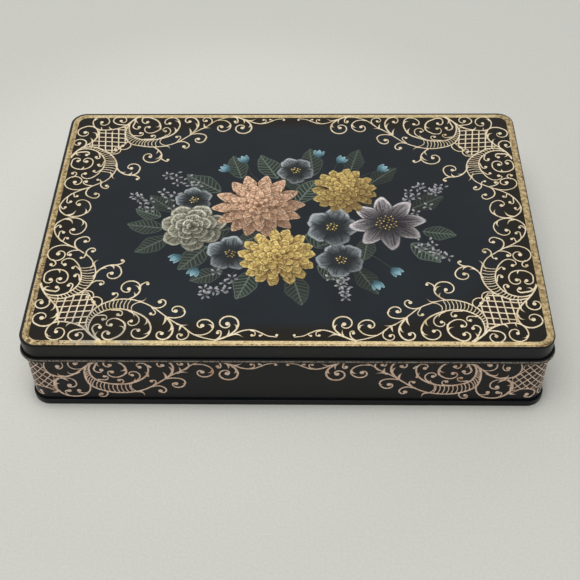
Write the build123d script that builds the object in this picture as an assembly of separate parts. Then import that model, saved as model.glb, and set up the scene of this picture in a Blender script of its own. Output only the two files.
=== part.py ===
from build123d import *
import os
from math import cos, radians, sin, sqrt

# A flat rectangular sweet tin in three pieces of folded tinplate: a slip-on lid, a wall
# strip that is closed by a lock seam at the back, and a base that is seamed on below.
# Millimetres. X runs along the length, Y from front to back, Z up from the table.

# The whole tin
lid_length = 235.0  # over the skirt
lid_depth = 162.0  # over the skirt
lid_corner_radius = 8.0  # outside of the skirt, seen from above
overall_height = 42.0  # table to lid top

# Tinplate
lid_sheet = 0.3
wall_sheet = 0.3
base_sheet = 0.3

# Lid
skirt_height = 10.9  # lid top to the bottom of the rolled hem
shoulder_radius = 1.2  # outside, where the panel turns down into the skirt
hem_width = 1.7  # of the hem, which is rolled outwards
hem_height = 2.0

# Fit of the lid on the wall
slip_clearance = 0.25  # skirt to wall, on each side
seat_gap = 0.1  # lid panel above the wall's top edge

# Wall
rim_width = 1.7  # of the top edge, which is rolled inwards
rim_height = 2.0
slit_width = 0.15  # left between the edge of a roll and the sheet that it turns back to

# Double seam that joins the base to the wall and is the tin's foot
seam_height = 3.2
seam_gap = 0.05  # between the layers, filled with sealing compound
base_recess = 3.0  # table to the underside of the base panel
panel_radius = 0.6  # inside of the bend from the recess into the base panel

# Lock seam at the middle of the back
lock_width = 4.0  # between the centres of its two folds
lock_gap = 0.05  # between its layers
lock_end_gap = 0.5  # to the base panel below and to the rolled rim above
joggle_radius = 0.3  # inside of the bends that step the sheet in behind the seam
joggle_angle = 60.0
joggle_land = 0.5  # plain sheet between the joggle and the rest of the wall

# Sizes that follow from the fit
wall_inset = lid_sheet + slip_clearance
wall_length = lid_length - 2 * wall_inset
wall_depth = lid_depth - 2 * wall_inset
wall_corner_radius = lid_corner_radius - wall_inset
rim_top = overall_height - lid_sheet - seat_gap


def direction(angle):
    return Vector(cos(radians(angle)), sin(radians(angle)))


def folded_sheet(start, heading, thickness, steps):
    """Section of a sheet folded step by step: ("run", length), ("bend", inside radius,
    turn), or ("fold", turn), which is pressed square. A turn to the left is positive."""
    half = thickness / 2
    here = Vector(*start)
    edges = []

    def end_cap():
        across = direction(heading + 90) * half
        edges.append(Line(here - across, here + across))

    end_cap()
    for kind, *sizes in steps:
        if kind == "run":
            across = direction(heading + 90) * half
            end = here + direction(heading) * sizes[0]
            edges += [Line(here + across, end + across), Line(here - across, end - across)]
            here = end
            continue
        inside, turn = (0, sizes[0]) if kind == "fold" else sizes
        outside = inside + thickness
        towards_centre = heading + (90 if turn > 0 else -90)
        centre = here + direction(towards_centre) * (inside + half)
        first = towards_centre + 180
        if kind == "fold":
            corner = centre + direction(first + turn / 2) * (outside / cos(radians(turn / 2)))
            edges.append(Line(centre + direction(first) * outside, corner))
            edges.append(Line(corner, centre + direction(first + turn) * outside))
        else:
            edges.append(CenterArc(centre, outside, first, turn))
            if inside > 0:
                edges.append(CenterArc(centre, inside, first, turn))
        here = centre + direction(first + turn) * (inside + half)
        heading += turn
    end_cap()
    return make_face(edges)


def rolled_edge(face_line, way, level, thickness, width, height):
    """Section of an oval roll at the edge of an upright sheet. It starts at the height
    level and turns round to a slit beside the sheet face at face_line. Way is 1 for a
    roll outwards and up, and -1 for one inwards and down. It is solid where none shows."""
    centre = Vector(face_line + way * (width / 2 - thickness), level)
    slit_line = face_line + way * slit_width
    across = (slit_line - centre.X) / (width / 2)
    tip = Vector(slit_line, level + way * height / 2 * sqrt(1 - across**2))
    slit = Polyline(
        (face_line, level),
        centre,
        tip,
        (slit_line, level + way * height),
        (face_line, level + way * height),
        close=True,
    )
    return Pos(centre.X, centre.Y) * Ellipse(width / 2, height / 2) - make_face(slit)


def around(section, length, depth, radius):
    """Takes a section round a rounded rectangle. The section's X is outwards from that
    outline and its Y is up."""
    pieces = []
    sides = [(length / 2, depth / 2), (depth / 2, length / 2)] * 2
    for quarter, (reach, half_side) in enumerate(sides):
        turned = Rot(0, 0, 90 * quarter)
        upright = turned * Pos(reach, 0, 0) * Plane.XZ.location * section
        pieces.append(extrude(upright, amount=half_side - radius, both=True))
        corner = turned * Pos(reach - radius, half_side - radius, 0)
        upright = corner * Pos(radius, 0, 0) * Plane.XZ.location * section
        pieces.append(revolve(upright, Axis(corner.position, (0, 0, 1)), 90))
    return pieces[0] + pieces[1:]


def panel(length, depth, radius, inset, underside, thickness):
    """A flat rounded plate, set in from a rounded rectangle."""
    outline = RectangleRounded(length - 2 * inset, depth - 2 * inset, radius - inset)
    return extrude(Pos(0, 0, underside) * outline, amount=thickness)


def make_lid():
    """Panel, shoulder, skirt and outward hem, all one drawn sheet."""
    hem_level = overall_height - skirt_height + hem_height / 2
    shoulder = folded_sheet(
        start=(-shoulder_radius, overall_height - lid_sheet / 2),
        heading=0,
        thickness=lid_sheet,
        steps=[
            ("bend", shoulder_radius - lid_sheet, -90),
            ("run", overall_height - shoulder_radius - hem_level),
        ],
    )
    hem = rolled_edge(0, 1, hem_level, lid_sheet, hem_width, hem_height)
    skirt = around(shoulder + hem, lid_length, lid_depth, lid_corner_radius)
    top = panel(
        lid_length,
        lid_depth,
        lid_corner_radius,
        inset=shoulder_radius,
        underside=overall_height - lid_sheet,
        thickness=lid_sheet,
    )
    return skirt + top


# The double seam's layers, outwards from the wall: the base's hook, the wall's hook
# round it, and the base's outer flange. The base's chuck wall lies inside the wall.
# Lines are the middles of layers, measured outwards from the wall's outer face.
wall_hook_line = 2 * seam_gap + base_sheet + wall_sheet / 2
flange_line = wall_hook_line + wall_sheet / 2 + seam_gap + base_sheet / 2
chuck_line = -(wall_sheet + seam_gap + base_sheet / 2)
wall_hook_bottom = base_sheet + seam_gap
wall_hook_top = seam_height - base_sheet - seam_gap
base_hook_bottom = wall_hook_bottom + wall_sheet + seam_gap


def lock_seam(bottom, top):
    """The two hooked ends of the wall strip, as solids on the inside of the line Y = 0.
    Also gives where the right-hand one joins the plain wall."""
    fold_inside = wall_sheet / 2 + lock_gap
    layer = wall_sheet + lock_gap
    layers_behind = 3
    joggle_line = joggle_radius + wall_sheet / 2
    slope, across = sin(radians(joggle_angle)), cos(radians(joggle_angle))
    slope_run = (layers_behind * layer - 2 * joggle_line * (1 - across)) / slope
    joggle_length = 2 * joggle_line * slope + slope_run * across
    # The slope passes the round back of the other end's fold at one lock gap.
    joggle_middle = lock_width / 2 + layer * (2 - across / 2) / slope
    joggle_start = joggle_middle + joggle_length / 2
    joins_wall = joggle_start + joggle_land
    outer_end = folded_sheet(
        start=(-lock_width / 2, -wall_sheet / 2),
        heading=0,
        thickness=wall_sheet,
        steps=[("run", lock_width), ("bend", fold_inside, -180), ("run", lock_width)],
    )
    inner_end = folded_sheet(
        start=(joins_wall, -wall_sheet / 2),
        heading=180,
        thickness=wall_sheet,
        steps=[
            ("run", joggle_land),
            ("bend", joggle_radius, joggle_angle),
            ("run", slope_run),
            ("bend", joggle_radius, -joggle_angle),
            ("run", joggle_start - joggle_length + lock_width / 2),
            ("bend", fold_inside, -180),
            ("run", lock_width),
        ],
    )
    ends = [extrude(Pos(0, 0, bottom) * end, amount=top - bottom) for end in (outer_end, inner_end)]
    return ends, joins_wall


def make_wall():
    """The wall strip, with its rolled rim, its hook in the foot seam and the lock seam."""
    rim_level = rim_top - rim_height / 2
    strip = folded_sheet(
        start=(wall_hook_line, wall_hook_top),
        heading=270,
        thickness=wall_sheet,
        steps=[
            ("run", wall_hook_top - wall_hook_bottom - wall_sheet),
            ("fold", -90),
            ("run", wall_hook_line - wall_sheet / 2),
            ("fold", -90),
            ("run", rim_level - wall_hook_bottom - wall_sheet),
        ],
    )
    rim = rolled_edge(-wall_sheet, -1, rim_level, wall_sheet, rim_width, rim_height)
    ring = around(strip + rim, wall_length, wall_depth, wall_corner_radius)
    bottom = base_recess + base_sheet + lock_end_gap
    top = rim_top - rim_height - lock_end_gap
    ends, joins_wall = lock_seam(bottom, top)
    window = Pos(-lock_width / 2, -wall_sheet, bottom) * Box(
        joins_wall + lock_width / 2,
        wall_sheet,
        top - bottom,
        align=(Align.MIN, Align.MIN, Align.MIN),
    )
    back = Pos(0, wall_depth / 2, 0)
    return ring - back * window + [back * end for end in ends]


def make_base():
    """Recessed panel, chuck wall, the foot that the tin stands on, outer flange and hook."""
    section = folded_sheet(
        start=(chuck_line - panel_radius - base_sheet / 2, base_recess + base_sheet / 2),
        heading=0,
        thickness=base_sheet,
        steps=[
            ("bend", panel_radius, -90),
            ("run", base_recess - panel_radius - base_sheet),
            ("fold", 90),
            ("run", flange_line - chuck_line - base_sheet),
            ("bend", 0, 90),
            ("run", seam_height - 2 * base_sheet),
            ("bend", 0, 90),
            ("run", wall_sheet + 2 * seam_gap),
            ("fold", 90),
            ("run", seam_height - base_sheet - base_hook_bottom),
        ],
    )
    rim = around(section, wall_length, wall_depth, wall_corner_radius)
    plate = panel(
        wall_length,
        wall_depth,
        wall_corner_radius,
        inset=panel_radius + base_sheet / 2 - chuck_line,
        underside=base_recess,
        thickness=base_sheet,
    )
    return rim + plate


os.makedirs("parts", exist_ok=True)
for node, make in (("lid", make_lid), ("body_wall", make_wall), ("base_plate", make_base)):
    solid = make()
    export_step(solid, f"parts/{node}.step")
    print(node, "volume", round(solid.volume, 1), "size", solid.bounding_box().size)
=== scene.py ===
# %% [markdown]
# # A flat sweet tin with a slip-on lid
# The tin is folded from tinplate and printed before it is folded: black lacquer, a gilt
# band round the lid, gilt scrollwork and a bunch of flowers. The sheet metal is the
# fixed frame, which is loaded here. Everything below dresses it.

# %% Load the sheet metal
from math import atan2, ceil, cos, pi, radians, sin, sqrt
from random import Random

import bmesh
import bpy
from mathutils import Matrix, Vector


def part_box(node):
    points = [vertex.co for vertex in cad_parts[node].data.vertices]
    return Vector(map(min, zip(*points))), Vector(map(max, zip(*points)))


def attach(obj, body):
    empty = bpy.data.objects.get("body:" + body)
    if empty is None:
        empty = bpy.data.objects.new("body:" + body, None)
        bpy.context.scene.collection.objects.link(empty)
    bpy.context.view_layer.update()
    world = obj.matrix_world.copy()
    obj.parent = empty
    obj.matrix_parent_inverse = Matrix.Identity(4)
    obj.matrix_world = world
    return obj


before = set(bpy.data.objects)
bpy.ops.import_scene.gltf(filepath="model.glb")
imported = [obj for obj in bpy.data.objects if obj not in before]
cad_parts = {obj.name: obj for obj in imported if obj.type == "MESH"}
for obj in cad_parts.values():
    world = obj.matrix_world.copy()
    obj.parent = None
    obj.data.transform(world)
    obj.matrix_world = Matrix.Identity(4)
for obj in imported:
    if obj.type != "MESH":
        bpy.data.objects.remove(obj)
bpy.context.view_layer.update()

# %% [markdown]
# ## Sizes
# The frame gives the outside of each piece. The rolled hem and the foot seam stand out
# from the sheet faces, so the flat faces that carry the print are found by taking their
# reach away again.

# %% Sheet faces in metres
MM = 0.001
hem_reach = 1.4 * MM
hem_height = 2.0 * MM
rim_height = 2.0 * MM  # of the roll at the wall's top edge
seam_reach = 0.7 * MM
lid_low, lid_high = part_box("lid")
wall_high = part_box("body_wall")[1]
base_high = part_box("base_plate")[1]
lid_top = lid_high.z
skirt_half_length = lid_high.x - hem_reach
skirt_half_depth = lid_high.y - hem_reach
skirt_corner = 8.0 * MM
shoulder_radius = 1.2 * MM
shoulder_start = lid_top - shoulder_radius  # the height at which the skirt begins to bend
wall_half_length = wall_high.x - seam_reach
wall_half_depth = wall_high.y - seam_reach
wall_corner = 7.45 * MM
sheet = 0.3 * MM
print("lid", round(skirt_half_length * 2, 4), "by", round(skirt_half_depth * 2, 4), "m")


# %% [markdown]
# ## Shader maths
# A finish is a sum of patterns, and it reads best as a sum. This class wraps one socket
# of a material. Operators on it add Math nodes for values, Vector Math nodes for
# vectors and Mix nodes for colours, and any other node comes from its node method.

# %% The class that wraps a socket
class Signal:
    def __init__(self, socket):
        self.socket = socket

    def node(self, kind, settings=None, sockets=None, output=0):
        """Adds a node. Its settings are set first, then its sockets by name or number."""
        tree = self.socket.id_data
        new = tree.nodes.new("ShaderNode" + kind)
        for name, value in (settings or {}).items():
            setattr(new, name, value)
        for name, value in (sockets or {}).items():
            place = new.inputs[name]
            if isinstance(value, Signal):
                tree.links.new(value.socket, place)
            elif place.type == "RGBA":
                place.default_value = (*value, 1)
            elif place.type == "VECTOR" and not hasattr(value, "__len__"):
                place.default_value = (value, value, value)
            else:
                place.default_value = value
        return Signal(new.outputs[output])

    def combine(self, operation, first, second):
        if self.socket.type == "VECTOR":
            return self.node("VectorMath", {"operation": operation}, {0: first, 1: second})
        if self.socket.type == "RGBA":
            settings = {"data_type": "RGBA", "blend_type": operation}
            return self.node("Mix", settings, {0: 1.0, 6: first, 7: second}, output=2)
        return self.node("Math", {"operation": operation}, {0: first, 1: second})

    def __add__(self, other):
        return self.combine("ADD", self, other)

    def __radd__(self, other):
        return self.combine("ADD", other, self)

    def __sub__(self, other):
        return self.combine("SUBTRACT", self, other)

    def __rsub__(self, other):
        return self.combine("SUBTRACT", other, self)

    def __mul__(self, other):
        return self.combine("MULTIPLY", self, other)

    def __rmul__(self, other):
        return self.combine("MULTIPLY", other, self)

    def __truediv__(self, other):
        return self.combine("DIVIDE", self, other)

    def __rtruediv__(self, other):
        return self.combine("DIVIDE", other, self)

    def __pow__(self, power):
        return self.combine("POWER", self, power)

    def most(self, other):
        return self.combine("MAXIMUM", self, other)

    def least(self, other):
        return self.combine("MINIMUM", self, other)

    def absolute(self):
        return self.node("Math", {"operation": "ABSOLUTE"}, {0: self})

    def rise(self, start, end):
        """0 before start, 1 after end, and smooth between them. It may also fall."""
        settings = {"interpolation_type": "SMOOTHSTEP"}
        return self.node("MapRange", settings, {"Value": self, 1: start, 2: end, 3: 0.0, 4: 1.0})

    def mix(self, first, second):
        """First where this is 0, second where it is 1, both colours."""
        return self.node("Mix", {"data_type": "RGBA"}, {0: self, 6: first, 7: second}, output=2)

    def part(self, number):
        """X, Y or Z of a vector."""
        return self.node("SeparateXYZ", sockets={0: self}, output=number)

    def noise(self, per_mm, detail=2.0, roughness=0.5):
        sockets = {"Vector": self, "Scale": per_mm, "Detail": detail, "Roughness": roughness}
        return self.node("TexNoise", sockets=sockets)


# %% [markdown]
# A finish starts from one material with its Principled shader. Patterns are laid out in
# millimetres on Object coordinates, which are the same for all the pieces, because every
# piece has its place in its mesh.

# %% The start of each finish
class Finish:
    def __init__(self, name, **uniform):
        self.material = bpy.data.materials.new(name)
        self.material.use_nodes = True
        self.tree = self.material.node_tree
        self.shader = self.tree.nodes["Principled BSDF"]
        for socket, value in uniform.items():
            self.shader.inputs[socket.replace("_", " ")].default_value = value
        coordinates = Signal(self.tree.nodes.new("ShaderNodeTexCoord").outputs["Object"])
        self.place = coordinates * (1 / MM)
        self.uv = Signal(self.tree.nodes.new("ShaderNodeTexCoord").outputs["UV"])

    def feed(self, **signals):
        for socket, signal in signals.items():
            self.tree.links.new(signal.socket, self.shader.inputs[socket.replace("_", " ")])

    def bump(self, height, depth_mm):
        sockets = {"Strength": 1.0, "Distance": depth_mm * MM, "Height": height}
        return height.node("Bump", sockets=sockets)


def rounded_distance(place, half_length, half_depth, radius, centre=(0, 0)):
    """Distance in mm outwards from a rounded rectangle, in plan. The centre is in mm."""
    beyond_x = ((place.part(0) - centre[0]).absolute() - (half_length - radius) / MM).most(0.0)
    beyond_y = ((place.part(1) - centre[1]).absolute() - (half_depth - radius) / MM).most(0.0)
    return (beyond_x * beyond_x + beyond_y * beyond_y) ** 0.5 - radius / MM


def from_skirt(place):
    """Distance in mm outwards from the outer face of the lid's skirt, in plan."""
    return rounded_distance(place, skirt_half_length, skirt_half_depth, skirt_corner)


def from_wall(place):
    """Distance in mm outwards from the outer face of the wall, in plan."""
    return rounded_distance(place, wall_half_length, wall_half_depth, wall_corner)


# %% [markdown]
# ## Floor, light and camera
# The tin stands on a plain pale floor. One wide soft lamp hangs nearly overhead, a little
# to the front left, and an even sky fills the shadows. The camera looks down at the
# front from above. A light this soft leaves hardly any shade close round the foot, so a
# contact shade is painted into the floor's colour there. A pool of light is painted too:
# the floor is palest at one spot and darker far from it.

# %% Floor
FLOOR_PALE, FLOOR_DARK = (0.605, 0.605, 0.565), (0.565, 0.565, 0.52)
PAINTED_LIGHT_SPOT = (-35, 40, 0)  # mm, where the painted light on the floor is palest
PAINTED_LIGHT_NEAR_FADE = (110, 210)  # mm from that spot, over which the painted light fades
PAINTED_LIGHT_FAR_FADE = (380, 540)  # mm from that spot, over which the painted light fades once more
PAINTED_SHADE_FOOT_FADE = (-1.0, 4.5)  # mm out from the foot, over which the painted contact shade fades


def plain_floor():
    finish = Finish("pale_floor", Roughness=0.9, Specular_IOR_Level=0.2)
    place = finish.place
    grain = place.noise(0.9, detail=3.0).rise(0.3, 0.7)
    spots = {0: place, 1: PAINTED_LIGHT_SPOT}
    away = place.node("VectorMath", {"operation": "DISTANCE"}, spots, output=1)
    # Painted light and shade: palest round the bright spot and darker away from it, and darker
    # still in a painted contact shade close round the foot.
    painted_light_and_shade = 1.05 - away.rise(*PAINTED_LIGHT_NEAR_FADE) * 0.13 - away.rise(*PAINTED_LIGHT_FAR_FADE) * 0.12
    from_foot = rounded_distance(place, wall_high.x, wall_high.y, wall_corner + seam_reach)
    painted_light_and_shade = painted_light_and_shade * (0.76 + from_foot.rise(*PAINTED_SHADE_FOOT_FADE) * 0.24)
    finish.feed(Base_Color=grain.mix(FLOOR_DARK, FLOOR_PALE) * painted_light_and_shade)
    bm = bmesh.new()
    bmesh.ops.create_grid(bm, x_segments=1, y_segments=1, size=2.5)
    mesh = bpy.data.meshes.new("floor")
    bm.to_mesh(mesh)
    bm.free()
    floor = bpy.data.objects.new("floor", mesh)
    bpy.context.collection.objects.link(floor)
    mesh.materials.append(finish.material)


plain_floor()
print("floor laid")

# %% Light
sky_strength = 0.58
sky = bpy.data.worlds.new("soft_sky")
sky.use_nodes = True
sky.node_tree.nodes["Background"].inputs["Color"].default_value = (1.0, 1.0, 1.0, 1)
sky.node_tree.nodes["Background"].inputs["Strength"].default_value = sky_strength
bpy.context.scene.world = sky


def soft_lamp(name, location, aim, size, power):
    lamp = bpy.data.lights.new(name, "AREA")
    lamp.shape = "DISK"
    lamp.size = size
    lamp.energy = power
    holder = bpy.data.objects.new(name, lamp)
    holder.location = location
    holder.rotation_euler = (Vector(aim) - Vector(location)).to_track_quat("-Z", "Y").to_euler()
    bpy.context.collection.objects.link(holder)


soft_lamp("window", location=(-0.15, -0.22, 1.5), aim=(0, 0, 0), size=1.2, power=15.2)
bpy.context.scene.view_settings.view_transform = "Standard"
print("sky and window lit")

# %% Camera
camera_place = Vector((12.149, -373.941, 395.735)) * MM
camera_pitch = 47.334  # degrees below the horizon
camera_yaw = 1.884
camera_roll = -1.241
camera_lens = 65.85  # mm, before a sensor 36 mm wide
camera = bpy.data.cameras.new("camera")
camera.sensor_width = 36.0
camera.lens = camera_lens
camera.clip_start = 0.01
camera_holder = bpy.data.objects.new("camera", camera)
turned = Matrix.Translation(camera_place)
for angle, axis in ((camera_yaw, "Z"), (90 - camera_pitch, "X"), (camera_roll, "Z")):
    turned = turned @ Matrix.Rotation(radians(angle), 4, axis)
camera_holder.matrix_world = turned
bpy.context.collection.objects.link(camera_holder)
bpy.context.scene.camera = camera_holder
print("camera", round(camera_place.length, 3), "m from the foot")


# %% [markdown]
# ## Lacquer on the sheet metal
# The outside is black lacquer with a soft gloss, slightly cloudy and finely scratched,
# rubbed thin on the bead of the hem, where a light line is also painted as the bead's
# highlight. The flat top of the lid is painted a lighter grey than the skirt, a painted
# sheen. The inside is plain gold lacquer on tin. Each node is one closed mesh, so the
# finish itself finds which side it is on: the inside is what lies further in than the
# middle of the sheet.

# %% Black outside, gold inside
BLACK = (0.0025, 0.0036, 0.0052)
HAZE_AND_SHEEN_GREY = (0.0085, 0.0132, 0.0175)  # a lighter, bluer grey: painted sheen on the lid's flat top, haze in cloudy patches
BROWNED = (0.0088, 0.0060, 0.0018)  # towards the edges of the lid's top
SCRATCHED = (0.02, 0.021, 0.022)
BARE_TIN_AND_HIGHLIGHT = (0.20, 0.17, 0.13)
GOLD_LACQUER, PALE_GOLD = (0.42, 0.29, 0.11), (0.48, 0.34, 0.14)


def sheet_metal(name, inside, bare_and_highlight, matt, ior):
    """The three functions give masks from the finish's place: the inside, bare tin (on the hem's
    bead also a painted highlight) and matt.
    """
    finish = Finish(name, IOR=ior)
    place = finish.place
    cloud = place.noise(0.035, detail=4.0)
    fine = place.noise(1.6, detail=3.0)
    flat_top = place.part(2).rise(shoulder_start / MM, lid_top / MM - 0.2)
    # Both shares of the way to the edges, cubed and summed, give a mask with round corners.
    across, along = place.part(0) / (lid_high.x / MM), place.part(1) / (lid_high.y / MM)
    near_edge = ((across * across) ** 1.5 + (along * along) ** 1.5).rise(0.5, 0.72)
    sheen_and_browning = near_edge.mix(HAZE_AND_SHEEN_GREY, BROWNED)
    # The flat top of the lid is painted the lighter grey as a sheen; cloudy patches anywhere get a
    # little of it as haze.
    black = (cloud.rise(0.3, 0.7) * 0.3 + flat_top * 0.7).mix(BLACK, sheen_and_browning)
    drawn_out = {"Vector": place, "Rotation": (0, 0, 0.5), "Scale": (0.05, 2.2, 0.4)}
    scratch = place.node("Mapping", sockets=drawn_out).noise(1.0, detail=2.0).rise(0.70, 0.76)
    black = (scratch * 0.5).mix(black, SCRATCHED)
    # Bare tin where the lacquer is worn through; on the hem's bead it is also a painted highlight
    # line.
    black = (bare_and_highlight(place) * fine.rise(0.32, 0.55)).mix(black, BARE_TIN_AND_HIGHLIGHT)
    gold_side = inside(place)
    finish.feed(
        Base_Color=gold_side.mix(black, fine.rise(0.35, 0.65).mix(GOLD_LACQUER, PALE_GOLD)),
        Metallic=gold_side * 0.85,
        Roughness=0.26 + cloud * 0.1 + fine * 0.05 + gold_side * 0.06 + matt(place) * 0.35,
        Normal=finish.bump(place.noise(0.25, detail=1.0), 0.02),
    )
    return finish.material


# %% Masks for the sheet metal
def behind_sheet(distance):
    """Behind the middle of a sheet, from the distance outwards from its outer face."""
    return distance.rise(-0.5 * sheet / MM, -0.7 * sheet / MM)


def lid_inside(place):
    """Behind the middle of the sheet: on the skirt, on the panel and round the shoulder."""
    flat_length = skirt_half_length - shoulder_radius
    flat_depth = skirt_half_depth - shoulder_radius
    out = rounded_distance(place, flat_length, flat_depth, skirt_corner - shoulder_radius)
    up = place.part(2) - shoulder_start / MM
    round_bend = (out.most(0.0) ** 2 + up.most(0.0) ** 2) ** 0.5 + out.most(up).least(0.0)
    return behind_sheet(round_bend - shoulder_radius / MM)


def hem_bead(place):
    """The upper outer side of the hem's roll, rubbed bare and painted light as the bead's
    highlight.
    """
    below_top = (lid_low.z + hem_height) / MM - place.part(2)
    return from_skirt(place).rise(0.9, 1.2) * below_top.rise(0.1, 0.4) * below_top.rise(1.0, 0.6)


def matt_edges(place):
    """The bead of the hem and the bend of the shoulder, which hands have dulled."""
    out = from_skirt(place)
    bend = out.rise(-1.2, -0.9) * (place.part(2) - shoulder_start / MM).rise(-0.6, 0.0)
    return out.rise(0.2, 0.5).most(bend)


def wall_inside(place):
    rim_foot = (wall_high.z - rim_height) / MM
    return behind_sheet(from_wall(place)) * place.part(2).rise(rim_foot + 0.1, rim_foot - 0.1)


def wall_rim(place):
    return place.part(2).rise(wall_high.z / MM - 0.5, wall_high.z / MM)


def base_inside(place):
    """The upper face of the recessed panel, inside the wall."""
    return from_wall(place).rise(-0.4, -0.6) * (place.part(2) - base_high.z / MM).rise(-0.2, -0.1)


def base_foot(place):
    return place.part(2).rise(0.35, 0.1)


for node, inside, bare_and_highlight, matt, ior in (
    ("lid", lid_inside, hem_bead, matt_edges, 1.33),
    ("body_wall", wall_inside, wall_rim, wall_rim, 1.3),
    ("base_plate", base_inside, base_foot, base_foot, 1.28),
):
    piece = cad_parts[node]
    piece.data.materials.clear()
    piece.data.materials.append(sheet_metal(node + "_lacquer", inside, bare_and_highlight, matt, ior))
    print(node, "lacquered")


# %% [markdown]
# ## Gilt
# The gilt is bronze ink under varnish. It is pale and creamy on the lid and redder on the
# walls. With age it goes dull and brown in patches, and it is silvery grey in patches at
# the front left. The band at the edge is browned by hands and worn in specks down to the
# lacquer, and browned more as painted shade at the right end and along the crease at its
# front. Height above the sheet tells a stroke's edge from its middle, and distances from
# the lid's edges tell where hands held it and where shade is painted, so one recipe serves
# the lid, the band and the walls.

# %% Gilt finishes
SILVER_PATCH_SPOT = (-80, -72)  # mm, the middle of the silvery grey patches at the front left of the print
SILVER_PATCH_FADE = (260, 40)  # square mm from there, at which that mark starts and is full
RIM_FADE = (0.0, 0.055)  # mm above the sheet, over which a stroke's rim colour ends
SILVERED = (0.30, 0.28, 0.25)
HANDLED_AND_SHADED = (0.20, 0.13, 0.045)
WORN = (0.09, 0.052, 0.02)


def gilt(name, pale, deep, dull, wear=0.0, lift=None, rim=None, edge=None, handled_and_shaded=None):
    """Lift gives the height above the sheet, which is low at a stroke's edges, where the
    rim colour shows. Edge gives a mask: where it is 1, the lacquer shows instead. The last
    gives how brown the gilt is, from handling and from painted shade, and how worn."""
    finish = Finish(name, IOR=1.45)
    place = finish.place
    patch = place.noise(0.11, detail=3.0)
    grain = place.noise(1.3, detail=3.0)
    speck = place.noise(0.75, detail=4.0, roughness=0.6)
    colour = grain.rise(0.35, 0.65).mix(deep, pale)
    colour = (patch.rise(0.56, 0.7) * 0.6).mix(colour, dull)
    aside, behind = (place.part(0) - SILVER_PATCH_SPOT[0]) * 0.6, place.part(1) - SILVER_PATCH_SPOT[1]
    silver = (aside * aside + behind * behind).rise(*SILVER_PATCH_FADE) * place.noise(0.2).rise(0.4, 0.55)
    silver = silver * place.part(2).rise(lid_top / MM - 3.0, lid_top / MM - 1.0)
    colour = (silver * 0.65).mix(colour, SILVERED)
    if lift:
        colour = (lift(place) + grain * 0.02).rise(*RIM_FADE).mix(rim, colour)
    if handled_and_shaded:
        # Brown from handling and from painted shade, and wear.
        brown_and_shade, worse = handled_and_shaded(place)
        wear = worse + wear
        mottle = place.noise(0.5, detail=3.0).rise(0.35, 0.65)
        colour = (brown_and_shade * (0.4 + mottle * 1.2)).mix(colour, HANDLED_AND_SHADED)
    worn = (speck + wear).rise(0.66, 0.72)
    colour = worn.mix(colour, WORN)
    metallic = 0.25 - worn * 0.2
    if edge:
        gone = edge(place, grain)
        colour = gone.mix(colour, BLACK)
        metallic = metallic * (1.0 - gone)
    finish.feed(
        Base_Color=colour,
        Metallic=metallic,
        Roughness=0.38 + grain * 0.14 + worn * 0.1,
        Normal=finish.bump(grain, 0.01),
    )
    return finish.material


# %% Masks for the gilt
print_inset_x, print_inset_y = 1.2 * MM, 1.15 * MM  # of the gilt's outer edge, from the skirt
print_corner = 6.8 * MM
print_middle = (0.5, -0.72)  # mm
END_WEAR_AND_SHADE = (104, 112)  # mm from the lid's middle, over which an end's wear and, at the right, painted shade set in
FRONT_WEAR_AND_SHADE = (-76, -78)
BACK_WEAR = (70, 78)
CORNER_WEAR = (-168, -186)  # the same at the front left corner, for the sum of X and Y


def off_the_print(place, grain):
    """Outside the gilt's edge, which is a little rough."""
    half_length, half_depth = skirt_half_length - print_inset_x, skirt_half_depth - print_inset_y
    out = rounded_distance(place, half_length, half_depth, print_corner, centre=print_middle)
    return (out + grain * 0.5).rise(0.2, 0.4)


def most_of(masks):
    """The highest of several masks."""
    highest = masks[0]
    for mask in masks[1:]:
        highest = highest.most(mask)
    return highest


def handled_and_shaded_edge(place):
    """Browned by handling: the ends, the back and the front left corner. Browned more as
    painted shade: the right end, most of all its outer edge, and the crease, a dark line of
    painted shade just outside the band's front. Worn: that crease, the front of the left end,
    that same corner and a little of the right end."""
    out = from_skirt(place)
    across, along = place.part(0), place.part(1)
    left, right = (0.0 - across).rise(*END_WEAR_AND_SHADE), across.rise(*END_WEAR_AND_SHADE)
    front, back = along.rise(*FRONT_WEAR_AND_SHADE), along.rise(*BACK_WEAR)
    corner = (across + along).rise(*CORNER_WEAR)
    inner_left = left * out.rise(-2.2, -3.0)
    outer_right = right * out.rise(-2.0, -0.6)
    crease_shade = front * out.rise(-1.1, -0.95) * out.rise(-0.5, -0.65)
    below_crease = front * out.rise(-0.6, -0.5)
    # The right end, its outer edge and the crease get more brown as painted shade.
    brown_and_shade = most_of([
        left * 0.3, right * 0.55, back * 0.22, corner * 0.5, inner_left * 0.65, outer_right * 0.85,
        crease_shade * 0.85, below_crease * 0.15,
    ])
    front_left = left * along.rise(20, -30)
    worse = most_of([crease_shade * 0.12, front_left * 0.09, corner * 0.10, right * 0.05])
    return brown_and_shade, worse


def above_lid(place):
    return place.part(2) - lid_top / MM


# %% The three gilts
LID_GILT = gilt(
    "lid_gilt", pale=(0.84, 0.75, 0.56), deep=(0.68, 0.54, 0.33), dull=(0.42, 0.30, 0.14),
    lift=above_lid, rim=(0.17, 0.095, 0.02),
)
BAND_GILT = gilt(
    "band_gilt", pale=(0.75, 0.61, 0.35), deep=(0.55, 0.41, 0.19), dull=(0.36, 0.26, 0.11),
    wear=0.03, edge=off_the_print, handled_and_shaded=handled_and_shaded_edge,
)
WALL_GILT = gilt(
    "wall_gilt", pale=(0.76, 0.62, 0.52), deep=(0.58, 0.38, 0.25), dull=(0.42, 0.22, 0.11),
    lift=from_wall, rim=(0.32, 0.17, 0.09),
)
print("gilt mixed")


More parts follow.
